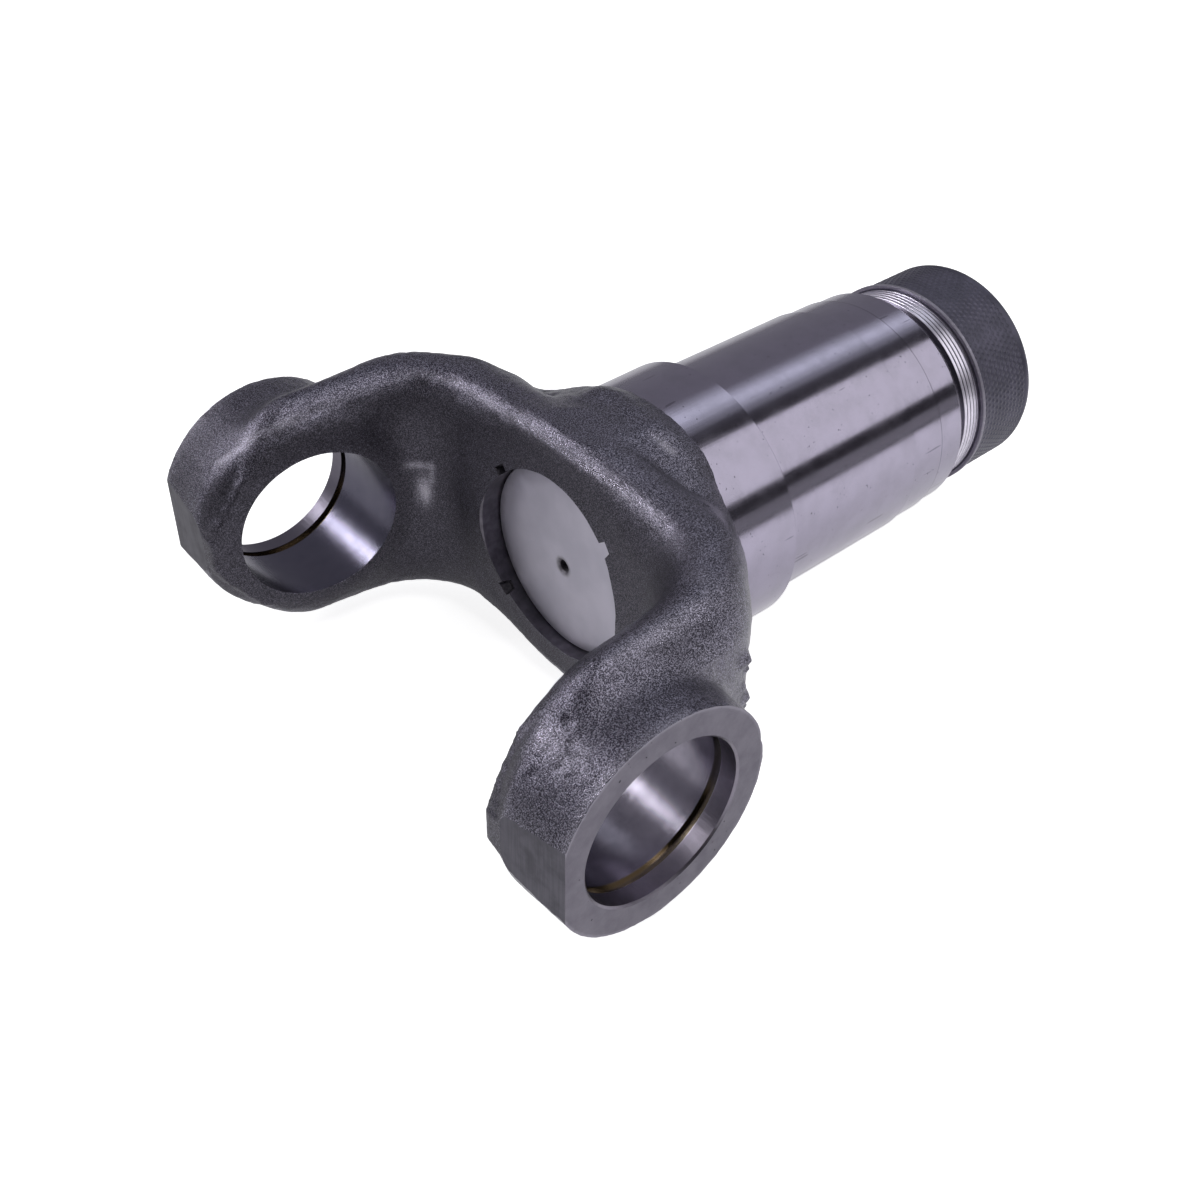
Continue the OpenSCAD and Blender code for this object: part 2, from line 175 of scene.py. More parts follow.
def rows_of(layer, name):
    """The three numbers of each item in a mesh's layer."""
    values = np.empty(len(layer) * 3)
    layer.foreach_get(name, values)
    return values.reshape(-1, 3)


def outline_gap(along_shaft, from_middle):
    """How far a place is inside the trimmed outline of the fork."""
    slant = math.cos(SHOULDER_TURN) * along_shaft + math.sin(SHOULDER_TURN) * from_middle
    return np.minimum(ARM_OUT - from_middle, SHOULDER_CUT - slant)


# The rough skin: hills and pits of scale, drag lines on the sheared outline, and the line of flash.
forging = solid("yoke_forging_skin", skin, faces)
normals = rows_of(forging.data.vertex_normals, "vector")
sx, sy, sz = skin[:, 0], np.abs(skin[:, 1]), np.abs(skin[:, 2])
cut_off = outline_gap(sx, sy)
on_boss_side = (sy > ARM_OUT + 0.3) | (sx < 6)
sheared = np.exp(-(cut_off / 0.8) ** 2) * (sz < 17) * (sx > 8) * (np.abs(normals[:, 2]) < 0.6)
flash = np.exp(-(sz / 0.55) ** 2) * (sx > -18) * (sy > 30) * on_boss_side * (np.abs(normals[:, 2]) < 0.5)
inner_wall = (np.abs(normals[:, 2]) < 0.35) * (cut_off > 3)
rough = 0.07 * lumps(skin, 1.5, 1) + 0.07 * lumps(skin, 5.0, 2) + 0.05 * lumps(skin, 0.8, 3)
swell = rough * (1 - 0.55 * inner_wall) * (1 - 0.4 * sheared)
swell += sheared * 0.16 * lumps(skin * [1, 1, 0.12], 1.0, 4)
swell += 0.28 * flash * (0.7 + 0.6 * lumps(skin, 2.5, 5))
pits = np.maximum(lumps(skin, 2.2, 6) - 0.62, 0) * (1 - inner_wall)
swell -= 0.7 * pits

# Single marks: a dent on the near boss, beads of flash on the near shoulder, and the valley, the ribs
# and the bead where the hub meets the base.
dent = [-9.9, -45.9, 19.3]
swell -= 0.75 * at(skin, dent, 0.9) - 0.25 * at(skin, dent, 1.9)
swell += 0.30 * at(skin, [-12.2, -49.0, 17.2], [3.0, 4.5, 3.0]) * lumps(skin, 1.1, 7)
beads = (((25.4, -48.4, 11.5), 1.3, 1.2), ((26.6, -47.4, 8.2), 0.8, 0.7), ((26.0, -48.0, 4.6), 0.9, 0.5),
         ((27.4, -46.6, 1.2), 1.2, 1.0), ((28.6, -45.4, -2.4), 0.8, 0.7), ((19.8, -50.2, 0.6), 1.3, 0.9))
for place, size, tall in beads:
    nearest = skin[np.argmin(np.sum((skin - place) ** 2, axis=1))]
    swell += tall * at(skin, nearest, size)
upper = np.column_stack([skin[:, 0], -np.abs(skin[:, 1]), np.abs(skin[:, 2])])
valley = [(34.0, -7.5, 26.4), (37.0, -14.9, 24.1), (38.5, -19.0, 22.3), (40.0, -22.8, 20.4)]
for first, second in zip(valley, valley[1:]):
    swell -= 0.38 * beside(upper, first, second, 1.7)
swell += 0.30 * beside(upper, (32.5, -16.0, 25.3), (35.8, -24.5, 22.3), 2.4)
swell += 0.28 * beside(upper, (42.2, -13.0, 23.6), (43.4, -19.5, 19.2), 2.2)
swell += 0.9 * at(upper, [41.5, -7.5, 25.9], 3.4)
skin = skin + normals * swell[:, None]
skin[:, 2] = np.clip(skin[:, 2], -FORGED_TOP, FORGED_TOP)
skin[:, 0] = np.maximum(skin[:, 0], FORGED_TIP)
forging.data.vertices.foreach_set("co", (skin * MM).astype(np.float32).ravel())
forging.data.update()


class Flow:
    """A socket in a node tree, so that the tree's maths reads as plain sums."""

    def __init__(self, board, socket):
        self.board, self.socket = board, socket

    def math(self, operation, *values):
        """A Math node on these values."""
        return self.board.node("ShaderNodeMath", {"operation": operation}, dict(enumerate(values)))[0]

    def math_of(self, operation):
        """A Math node on this value alone."""
        return self.math(operation, self)

    def __add__(self, other):
        return self.math("ADD", self, other)

    def __radd__(self, other):
        return self.math("ADD", other, self)

    def __sub__(self, other):
        return self.math("SUBTRACT", self, other)

    def __rsub__(self, other):
        return self.math("SUBTRACT", other, self)

    def __mul__(self, other):
        return self.math("MULTIPLY", self, other)

    def __rmul__(self, other):
        return self.math("MULTIPLY", other, self)

    def __truediv__(self, other):
        return self.math("DIVIDE", self, other)

    def __rtruediv__(self, other):
        return self.math("DIVIDE", other, self)

    def __mod__(self, other):
        return self.math("MODULO", self, other)

    def __rmod__(self, other):
        return self.math("MODULO", other, self)

    def __abs__(self):
        return self.math_of("ABSOLUTE")

    def least(self, other):
        return self.math("MINIMUM", self, other)

    def most(self, other):
        return self.math("MAXIMUM", self, other)

    def over(self, low, high, start=0.0, end=1.0):
        """start below low, end above high, smooth between; high may be the smaller."""
        ends = (high, low, end, start) if high < low else (low, high, start, end)
        return self.board.node("ShaderNodeMapRange", {"interpolation_type": "SMOOTHSTEP"},
                               dict(enumerate((self, *ends))))[0]


class Board:
    """A node tree, and the one way in which nodes are added to it."""

    def __init__(self, tree):
        self.tree = tree

    def fill(self, made, inputs):
        """Links or sets a node's inputs, by name or number."""
        for key, value in inputs.items():
            slot = made.inputs[key]
            if isinstance(value, Flow):
                self.tree.links.new(value.socket, slot)
            elif slot.type == "RGBA":
                slot.default_value = (*value, 1)
            else:
                slot.default_value = value

    def node(self, kind, settings=None, inputs=None):
        """Adds a node with its settings and its inputs; returns its outputs by name and by number."""
        made = self.tree.nodes.new(kind)
        for key, value in (settings or {}).items():
            setattr(made, key, value)
        self.fill(made, inputs or {})
        flows = [Flow(self, out) for out in made.outputs if out.enabled]
        return {**dict(enumerate(flows)), **{flow.socket.name: flow for flow in flows}}

    def blend(self, share, first, second):
        """Mixes two colours by a share."""
        return self.node("ShaderNodeMix", {"data_type": "RGBA"}, {0: share, 6: first, 7: second})[0]


class Finish(Board):
    """One finish: a material with a Principled surface, and the places on it in millimetres."""

    def __init__(self, name, metallic, roughness):
        self.material = bpy.data.materials.new(name)
        self.material.use_nodes = True
        super().__init__(self.material.node_tree)
        self.shader = self.tree.nodes["Principled BSDF"]
        self.feed(Metallic=metallic, Roughness=roughness)
        self.place = self.node("ShaderNodeTexCoord")["Object"]
        split = self.node("ShaderNodeSeparateXYZ", {}, {0: self.place})
        self.x, self.y, self.z = (split[axis] * 1000.0 for axis in "XYZ")

    def noise(self, size_mm, detail=3.0, roughness=0.55, stretch=(1, 1, 1)):
        """Noise with features of a size in millimetres, from 0 to 1."""
        where = self.place
        if stretch != (1, 1, 1):
            where = self.node("ShaderNodeVectorMath", {"operation": "MULTIPLY"},
                              {0: self.place, 1: stretch})["Vector"]
        return self.node("ShaderNodeTexNoise", {}, {"Vector": where, "Scale": 1000.0 / size_mm,
                                                    "Detail": detail, "Roughness": roughness})["Fac"]

    def tool_marks(self, distance, per_mm, roughness):
        """Noise along one distance, as the point of a turning or boring tool leaves it."""
        return self.node("ShaderNodeTexNoise", {"noise_dimensions": "1D"}, {
            "W": distance * per_mm, "Scale": 1.0, "Detail": 3.0, "Roughness": roughness})["Fac"]

    def mark(self, name):
        """A mask that was painted on the mesh."""
        return self.node("ShaderNodeAttribute", {"attribute_name": name})["Fac"]

    def bump(self, depth_mm, height):
        """Bump from a height of 0 to 1 over a depth in millimetres."""
        return self.node("ShaderNodeBump", {}, {"Height": height, "Distance": depth_mm * MM,
                                                "Strength": 1.0})["Normal"]

    def feed(self, **sockets):
        """Links or sets the surface's own sockets."""
        self.fill(self.shader, {key.replace("_", " "): value for key, value in sockets.items()})
        return self.material


def from_axis(first, second):
    """How far a place is from an axis, by its two distances across it."""
    return (first * first + second * second).math_of("SQRT")


def tone(red, green, blue):
    """A colour as it is read off a screen, turned into the shader's linear values."""
    return tuple(((v / 255 + 0.055) / 1.055) ** 2.4 if v > 10 else v / 255 / 12.92
                 for v in (red, green, blue))


# The scale's finish: near black, with painted glints on its grains, more of them on wear and painted
# highlight.
scale = Finish("forging_scale", 0.85, 0.4)
grain = scale.noise(0.25, 2.0, 0.65)
fine = scale.noise(0.15, 1.0, 0.6)
blotch = scale.noise(6.0, 4.0, 0.6)
wear_and_highlight = scale.mark("wear_and_highlight")
sheared_mark = scale.mark("sheared")
dark_walls_and_shade = scale.mark("dark_walls_and_shade")
scuffed = scale.mark("scuffed")
streaks = scale.noise(0.5, 2.0, 0.5, (1, 1, 0.06)).over(0.3, 0.75)
# The grains' light specks and the glints below are painted glints of the scale.
grain_glints = (grain * 0.55 + fine * 0.45).over(0.45, 0.61)
glint = fine.over(0.56, 0.74) * grain.over(0.40, 0.62)
colour = scale.blend(blotch.over(0.3, 0.75), tone(46, 44, 53), tone(66, 63, 74))
colour = scale.blend(grain_glints * 0.92, colour, tone(158, 154, 172))
colour = scale.blend(glint * (0.35 + 0.65 * wear_and_highlight), colour, tone(206, 202, 216))
# Wear on the ridges, together with a painted highlight along them.
colour = scale.blend(wear_and_highlight * (0.25 + 0.6 * grain_glints), colour, tone(172, 168, 182))
colour = scale.blend(sheared_mark * (0.15 + 0.3 * streaks), colour, tone(128, 125, 136))
# The inner walls darker, partly a darker oxide and partly painted shade, with painted shade on the ears.
colour = scale.blend(dark_walls_and_shade * 0.62, colour, tone(58, 56, 62))
colour = scale.blend(scuffed * (0.3 + 0.35 * grain_glints + 0.35 * streaks), colour, tone(190, 186, 198))
forging_skin = scale.feed(Base_Color=colour, Normal=scale.bump(0.13, grain * 0.6 + fine * 0.4),
                          Roughness=(0.30 - 0.08 * glint - 0.04 * wear_and_highlight + 0.16 * dark_walls_and_shade).most(0.2))

# The turned sleeve is the forging's own stem: turned and ground bright, with a fine step and a taper
# before the thread. Its faces get a finish of their own when it is joined to the forged end.
STEM_X, SLEEVE_R, SLEEVE_X, LATHE_PER_MM = 36.0, 26.07, 60.8, 7.0
BARREL_R, BARREL_X, STEP, END_X, THREAD_X = 23.9, 96.5, 0.4, 104.9, 115.0
NECK_R, NECK_X, THREAD_R, THREAD_CORE, CAP_X, NECK_END = 23.1, 111.3, 21.1, 20.5, 119.8, 128.8


def turned(name, profile, axis="x", steps=256, material=None):
    """A turned piece from (place, radius) pairs: from centre to centre, or a closed loop for a ring."""
    inner = [p for p in profile if p[1] > 0]
    angles = np.linspace(0, 2 * math.pi, steps, endpoint=False)
    rings = [np.column_stack([np.full(steps, a), r * np.cos(angles), r * np.sin(angles)]) for a, r in inner]
    points = np.vstack(rings + [[[profile[0][0], 0, 0], [profile[-1][0], 0, 0]]])
    polygons, count = [], len(inner)
    hollow = profile[0][1] > 0
    for ring in range(count if hollow else count - 1):
        a, b = ring * steps, (ring + 1) % count * steps
        for i in range(steps):
            j = (i + 1) % steps
            polygons.append((a + i, b + i, b + j, a + j))
    if hollow:
        points = points[:-2]
    else:
        first, final, end = count * steps, count * steps + 1, (count - 1) * steps
        for i in range(steps):
            j = (i + 1) % steps
            polygons.append((first, i, j))
            polygons.append((final, end + j, end + i))
    if axis == "y":
        points = points[:, [1, 0, 2]]
    return solid(name, points, polygons, material)


ground = Finish("ground_sleeve", 1.0, 0.2)
radius = from_axis(ground.y, ground.z)
lathe = ground.node("ShaderNodeCombineXYZ", {},
                    {0: ground.x * LATHE_PER_MM, 1: radius * LATHE_PER_MM})["Vector"]
rings = ground.node("ShaderNodeTexNoise", {"noise_dimensions": "2D"},
                    {"Vector": lathe, "Scale": 1.0, "Detail": 3.0, "Roughness": 0.7})["Fac"]
stains = ground.noise(5.0, 4.0, 0.6)
specks = ground.noise(0.7, 1.0, 0.5).over(0.74, 0.78)
scratch = ground.noise(1.4, 1.0, 0.5, (0.12, 1, 1)).over(0.74, 0.77)
colour = ground.blend(stains.over(0.3, 0.8), tone(158, 152, 170), tone(150, 145, 161))
near_step = abs(ground.x - BARREL_X).least(abs(ground.x - END_X)).least(abs(ground.x - SLEEVE_X))
# The neck before the thread is painted lighter, a painted sheen, and made a little rougher.
neck = ground.x.over(NECK_X + 0.2, THREAD_X)
colour = ground.blend(neck * 0.5, colour, tone(190, 185, 200))
colour = ground.blend((specks * 0.7 + scratch * 0.45).least(1.0), colour, tone(84, 80, 92))
# Painted shade: a thin dark line at each of the three steps.
colour = ground.blend(near_step.over(0.22, 0.08) * 0.6, colour, tone(70, 67, 78))
dullness = 0.10 + 0.06 * stains.over(0.3, 0.8) + 0.04 * rings + 0.1 * specks + 0.1 * neck
sleeve_finish = ground.feed(Base_Color=colour, Roughness=dullness, Normal=ground.bump(0.004, rings))
sleeve = turned("turned_sleeve", [
    (STEM_X, 0), (STEM_X, SLEEVE_R - 0.3), (SLEEVE_X - 0.35, SLEEVE_R), (SLEEVE_X, SLEEVE_R - 0.35),
    (SLEEVE_X + 0.02, BARREL_R + 0.15), (SLEEVE_X + 0.2, BARREL_R), (BARREL_X - 0.15, BARREL_R),
    (BARREL_X, BARREL_R - STEP), (END_X, BARREL_R - STEP), (END_X + 0.1, NECK_R), (NECK_X, NECK_R),
    (THREAD_X, THREAD_CORE), (NECK_END - 0.5, THREAD_CORE),
    (NECK_END, THREAD_CORE - 0.5), (NECK_END, 0)], material=sleeve_finish)


def change(piece, tool, operation):
    """Joins or cuts a closed piece with another, which is used up."""
    modifier = piece.modifiers.new(operation, "BOOLEAN")
    modifier.operation, modifier.object, modifier.solver = operation, tool, "MANIFOLD"
    modifier.material_mode = "TRANSFER"
    mesh = bpy.data.meshes.new_from_object(piece.evaluated_get(bpy.context.evaluated_depsgraph_get()))
    piece.modifiers.remove(modifier)
    if len(mesh.vertices) == 0:
        raise RuntimeError(f"{operation} with {tool.name} left nothing")
    piece.data = mesh
    bpy.data.objects.remove(tool)


forging.data.materials.append(forging_skin)
change(forging, sleeve, "UNION")

# The ears' ends are the forging's own steel: each face is milled flat round its bore, and each tip is
# sheared off at a slant, which leaves dull streaks.
faced = Finish("faced_ear", 1.0, 0.42)
reach = from_axis(faced.x, faced.z)
rings = faced.tool_marks(reach, 3.5, 0.7)
stains = faced.noise(3.5, 4.0, 0.65)
pin_marks = faced.noise(0.8, 0.0, 0.5).over(0.80, 0.83)
outer_rim = (reach + 0.5 * faced.noise(1.2, 2.0)).over(EAR_R - 0.38, EAR_R + 0.12)
colour = faced.blend(stains.over(0.25, 0.8), tone(118, 114, 125), tone(104, 100, 112))
colour = faced.blend(outer_rim * 0.35, colour, tone(168, 164, 176))
colour = faced.blend(pin_marks, colour, tone(40, 38, 44))
faced_finish = faced.feed(Base_Color=colour, Roughness=0.40 + 0.12 * stains,
                          Normal=faced.bump(0.03, rings * 0.8 + faced.noise(0.5) * 0.4))

sheared_steel = Finish("sheared_tip", 0.9, 0.45)
streaks = sheared_steel.noise(0.45, 3.0, 0.6, (1, 1, 0.05))
patch = sheared_steel.noise(4.0, 3.0)
colour = sheared_steel.blend(streaks.over(0.3, 0.7), tone(72, 70, 80), tone(84, 81, 92))
colour = sheared_steel.blend(patch.over(0.45, 0.7) * 0.7, colour, tone(62, 60, 69))
tip_finish = sheared_steel.feed(Base_Color=colour, Roughness=0.36 + 0.2 * patch,
                                Normal=sheared_steel.bump(0.02, streaks))


def block(name, low, high, turn_deg=0.0, pivot=(0.0, 0.0), material=None):
    """A box between two corners, turned about an upright line."""
    points = np.array([(a, b, c) for a in (low[0], high[0]) for b in (low[1], high[1])
                       for c in (low[2], high[2])], float)
    angle = math.radians(turn_deg)
    flat = points[:, :2] - pivot
    points[:, 0] = pivot[0] + flat[:, 0] * math.cos(angle) - flat[:, 1] * math.sin(angle)
    points[:, 1] = pivot[1] + flat[:, 0] * math.sin(angle) + flat[:, 1] * math.cos(angle)
    return solid(name, points, [(0, 1, 3, 2), (4, 6, 7, 5), (0, 4, 5, 1), (2, 3, 7, 6), (0, 2, 6, 4),
                                (1, 5, 7, 3)], material)


TIP_X, TIP_LEAN, TIP_CUT, TIP_CUT_HALF, PAST_EAR, CUTTER_HALF = -18.98, -5.0, 20, 30, 70, 40
for end in (-1, 1):
    low, high = sorted((end * EAR_FACE, end * PAST_EAR))
    facing_cut = block(f"facing_cut_{end}", (-CUTTER_HALF, low, -CUTTER_HALF),
                       (CUTTER_HALF, high, CUTTER_HALF), material=faced_finish)
    change(forging, facing_cut, "DIFFERENCE")
    tip_cut = block(f"tip_cut_{end}", (TIP_X - TIP_CUT, end * EAR_FACE - CUTTER_HALF, -TIP_CUT_HALF),
                    (TIP_X, end * EAR_FACE + CUTTER_HALF, TIP_CUT_HALF), TIP_LEAN * end,
                    (TIP_X, end * EAR_FACE), tip_finish)
    change(forging, tip_cut, "DIFFERENCE")

# The cross bores are bored through both ears in one pass, bright inside, each with a broken edge at its
# mouth and a groove for the ring that keeps the bearing cup in. The groove is brassy low down.
BORE_R, MOUTH, GROOVE_IN, GROOVE_OUT, GROOVE_R = 15.08, 0.35, 51.6, 53.2, 15.93
bored = Finish("bored_wall", 1.0, 0.22)
depth = abs(bored.y)
reach = from_axis(bored.x, bored.z)
rings = bored.tool_marks(depth, 6.0, 0.8)
stains = bored.noise(3.0, 4.0, 0.6)
lip = depth.over(GROOVE_OUT - 0.1, GROOVE_OUT + 0.1)
past_groove = depth.over(GROOVE_OUT + 0.1, GROOVE_OUT + 0.2)
groove = reach.over(BORE_R + 0.12, BORE_R + 0.32) * depth.over(GROOVE_IN - 0.2, GROOVE_IN - 0.1)
groove = groove * (1 - past_groove)
brass_part = groove * bored.z.over(-4.0, -9.0)
# The bore in the far ear is painted darker: painted shade.
far_bore_shade = bored.y.over(-5.0, 5.0)
colour = bored.blend(stains.over(0.3, 0.8), tone(146, 141, 154), tone(128, 124, 137))
colour = bored.blend(far_bore_shade * 0.75, colour, tone(78, 77, 94))
colour = bored.blend(lip * 0.5, colour, tone(120, 114, 124))
colour = bored.blend(groove, colour, tone(88, 83, 86))
colour = bored.blend(brass_part * 0.75, colour, tone(132, 119, 99))
chatter = lip * 5.0 * bored.noise(0.9, 2.0, 0.6, (1, 0.2, 1))
bored_finish = bored.feed(Base_Color=colour, Roughness=0.17 + 0.06 * stains + 0.14 * lip,
                          Normal=bored.bump(0.010, rings + chatter))

half_bore = [(EAR_FACE + 3, BORE_R + MOUTH + 2), (EAR_FACE + 0.3, BORE_R + MOUTH + 0.3),
             (EAR_FACE - MOUTH, BORE_R), (GROOVE_OUT, BORE_R), (GROOVE_OUT, GROOVE_R),
             (GROOVE_IN, GROOVE_R), (GROOVE_IN, BORE_R)]
through = [(place, BORE_R) for place in (-46, -38, 38, 46)]
bore_profile = [(-EAR_FACE - 3, 0), *((-a, r) for a, r in half_bore), *through, *half_bore[::-1],
                (EAR_FACE + 3, 0)]
change(forging, turned("cross_bore_cut", bore_profile, "y", 288, bored_finish), "DIFFERENCE")

# The seat for the core plug is turned into the base from the fork's side, and is a little wider at
# its mouth.
PLUG_R, PLUG_FACE, PLUG_T = 18.8, 27.5, 2.2
seat = Finish("plug_seat", 0.9, 0.4)
stains = seat.noise(2.0, 3.0)
seat_finish = seat.feed(Base_Color=seat.blend(stains.over(0.3, 0.7), tone(112, 108, 117), tone(92, 89, 97)),
                        Roughness=0.34 + 0.08 * stains, Normal=seat.bump(0.01, seat.noise(0.6, 3.0)))

change(forging, turned("seat_cut", [
    (HUB_START - 2, 0), (HUB_START - 2, PLUG_R + 0.35), (FORK_DEPTH + 0.2, PLUG_R + 0.35),
    (FORK_DEPTH + 0.6, PLUG_R), (PLUG_FACE + PLUG_T, PLUG_R), (PLUG_FACE + PLUG_T, 0)],
    material=seat_finish), "DIFFERENCE")

# The spline is broached through the sleeve, so that the shaft can slide in it as it drives: sixteen
# straight-sided teeth, bright along the cut.
TEETH, MAJOR_R, MINOR_R, SPACE = 16, 18.25, 15.8, 0.52
broached = Finish("broached_spline", 1.0, 0.35)
streaks = broached.noise(0.5, 3.0, 0.6, (0.06, 1, 1))
broached_finish = broached.feed(
    Base_Color=broached.blend(streaks.over(0.3, 0.7), tone(120, 116, 126), tone(86, 83, 92)),
    Roughness=0.3 + 0.15 * streaks, Normal=broached.bump(0.03, streaks))

SPACE_W = SPACE * math.pi * 2 * MINOR_R / TEETH
half_in, half_out = math.asin(SPACE_W / 2 / MINOR_R), math.asin(SPACE_W / 2 / MAJOR_R)
land = 2 * math.pi / TEETH - 2 * half_in
corners = []
for tooth in range(TEETH):
    middle = 2 * math.pi * tooth / TEETH
    corners += [(MINOR_R, middle - half_in), (MAJOR_R, middle - half_out), (MAJOR_R, middle),
                (MAJOR_R, middle + half_out), (MINOR_R, middle + half_in)]
    corners += [(MINOR_R, middle + half_in + land * step / 4) for step in (1, 2, 3)]
ring = [(r * math.cos(a), r * math.sin(a)) for r, a in corners]
count = len(ring)
points = [(PLUG_FACE + PLUG_T - 0.5, b, c) for b, c in ring] + [(NECK_END + 2, b, c) for b, c in ring]
sides = [(i, (i + 1) % count, count + (i + 1) % count, count + i) for i in range(count)]
ends = [tuple(range(count)), tuple(range(2 * count - 1, count - 1, -1))]
change(forging, solid("spline_cut", points, sides + ends, broached_finish), "DIFFERENCE")

# Four punch marks hold the core plug: each is a short dent, struck into the forging's steel beside the
# seat with a blunt chisel, so that the rim closes over the plug's edge and it can't come out.
PUNCH_HALF, PUNCH_OUT, PUNCH_IN, PUNCH_START, PUNCH_END = 1.6, 1.9, -0.6, 20.0, 26.2
punched = Finish("punched_dent", 0.8, 0.5)
colour = punched.blend(punched.noise(0.8).over(0.3, 0.7), tone(84, 81, 88), tone(54, 52, 58))
punch_finish = punched.feed(Base_Color=colour, Normal=punched.bump(0.1, punched.noise(0.7)))

for angle in (-45, 45, 138, -137):
    a = math.radians(angle)
    tangent = np.array([0, -math.sin(a), math.cos(a)])
    outward = np.array([0, math.cos(a), math.sin(a)])
    points = []
    for place, shrink in ((PUNCH_START, 1.0), (FORK_DEPTH + 0.5, 1.0), (PUNCH_END, 0.55)):
        far = PUNCH_OUT * shrink
        for way, out in ((-1, PUNCH_IN), (1, PUNCH_IN), (1, far), (-1, far)):
            half = way * PUNCH_HALF * shrink
            points.append(outward * (PLUG_R + out) + tangent * half + [place, 0, 0])
    polygons = [(0, 1, 2, 3), (8, 11, 10, 9)]
    for ring in (0, 4):
        for side_no in range(4):
            follow = (side_no + 1) % 4
            polygons.append((ring + side_no, ring + 4 + side_no, ring + 4 + follow, ring + follow))
    change(forging, solid(f"punch_mark_{angle}", points, polygons, punch_finish), "DIFFERENCE")

# The forging's wear and painted light: the trimming press sheared its outline, handling wore its ridges
# and scuffed its walls, a painted highlight runs along the ridges, the inner walls are darker, partly oxide
# and partly painted shade, and painted shade darkens its ears. It is painted on the finished steel as
# masks that the scale's finish reads, and the edge between two finishes is kept sharp.
CORNER_ANGLE = math.radians(3.6)
mesh = forging.data
places = rows_of(mesh.vertices, "co") / MM
facing = rows_of(mesh.vertex_normals, "vector")
px, py, pz = places[:, 0], np.abs(places[:, 1]), np.abs(places[:, 2])
cut_off = outline_gap(px, py)
sheared = np.exp(-(cut_off / 1.0) ** 2) * (pz < 17) * (px > 10) * (np.abs(facing[:, 2]) < 0.6)
wear_and_highlight = 0.8 * np.exp(-((EAR_FACE - py) / 1.3) ** 2) * (px < 4) * (np.hypot(px, pz) > 18)
# Patches of wear and painted highlight, on the ridges and on the near ear.
rubbed_and_highlit_patches = ((0.75, [26.6, -15.5, 25.0], [2.2, 10.0, 2.2]), (0.6, [25.8, 6.0, 25.2], [1.8, 12.0, 1.8]),
                  (0.5, [-12.2, -50.0, 17.0], [3.0, 4.0, 3.0]), (0.6, [21.2, -40.0, 25.0], [1.5, 2.5, 1.5]),
                  (0.45, [8.0, -44.0, 24.0], [10.0, 2.6, 2.5]), (0.5, [24.0, -30.0, 25.0], [3.0, 6.0, 2.0]))
for share, centre, reach in rubbed_and_highlit_patches:
    wear_and_highlight += share * at(places, centre, reach)
scuff = 1.3 * at(places, [20.4, 32.2, 1.0], [1.3, 1.3, 2.8])
scuff_lines = (((17.7, 34.4, 6.8), (21.5, 31.0, 6.9)), ((21.5, 31.0, 6.9), (21.5, 31.0, 3.3)),
               ((40.0, -9.4, 25.5), (41.0, -12.6, 24.8)))
for first, second in scuff_lines:
    scuff += 0.75 * beside(places, first, second, 0.7)
scuff = np.clip(scuff, 0, 1)
# A painted highlight, over wear from handling, runs from the far ear along its arm's upper edge and over
# the base's.
ridge_line = [(-13.9, 44.5, 15.7), (-8.4, 41.9, 19.8), (-0.5, 38.9, 22.4), (11.8, 37.9, 23.6),
              (21.8, 35.4, 24.6), (25.8, 29.3, 24.5), (26.5, 19.0, 24.3), (26.1, 6.8, 24.6),
              (26.2, -3.4, 25.0), (27.0, -15.0, 24.8), (26.9, -24.1, 24.5)]
for first, second in zip(ridge_line, ridge_line[1:]):
    wear_and_highlight = np.maximum(wear_and_highlight, 0.95 * beside(places, first, second, 0.9))
# A painted highlight on the near ear's boss.
wear_and_highlight += 0.7 * at(places, [-12.7, -44.6, 16.8], [1.8, 2.4, 1.8])
# The inner walls are painted darker, partly as oxide and partly as painted shade; the patches on both ears
# are painted shade.
dark_walls_and_shade = np.clip((0.75 - np.abs(facing[:, 2])) / 0.3, 0, 1) * (cut_off > 5) * (pz < 24.5)
dark_walls_and_shade = (dark_walls_and_shade + 0.9 * at(places, [-14.0, 52.0, 13.0], [12.0, 8.0, 12.0])) * (1 - scuff)
dark_walls_and_shade += 0.5 * at(places, [-3.0, -50.5, 19.0], [7.0, 4.5, 4.0])
dark_walls_and_shade += 0.5 * at(places, [-17.0, -50.0, 8.0], [6.0, 6.0, 7.0])
for name, values in (("sheared", sheared), ("wear_and_highlight", wear_and_highlight), ("dark_walls_and_shade", dark_walls_and_shade), ("scuffed", scuff)):
    layer = mesh.attributes.new(name, "FLOAT", "POINT")
    layer.data.foreach_set("value", np.clip(values, 0, 1).astype(np.float32))
work = bmesh.new()
work.from_mesh(mesh)
for face in work.faces:
    face.smooth = True
for edge in work.edges:
    if len(edge.link_faces) == 2:
        one, two = edge.link_faces
        if one.material_index != two.material_index:
            edge.smooth = False
        elif one.material_index and edge.calc_face_angle(0) > CORNER_ANGLE:
            edge.smooth = False
work.to_mesh(mesh)
work.free()
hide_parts("yoke_forging")
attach(forging, "root")

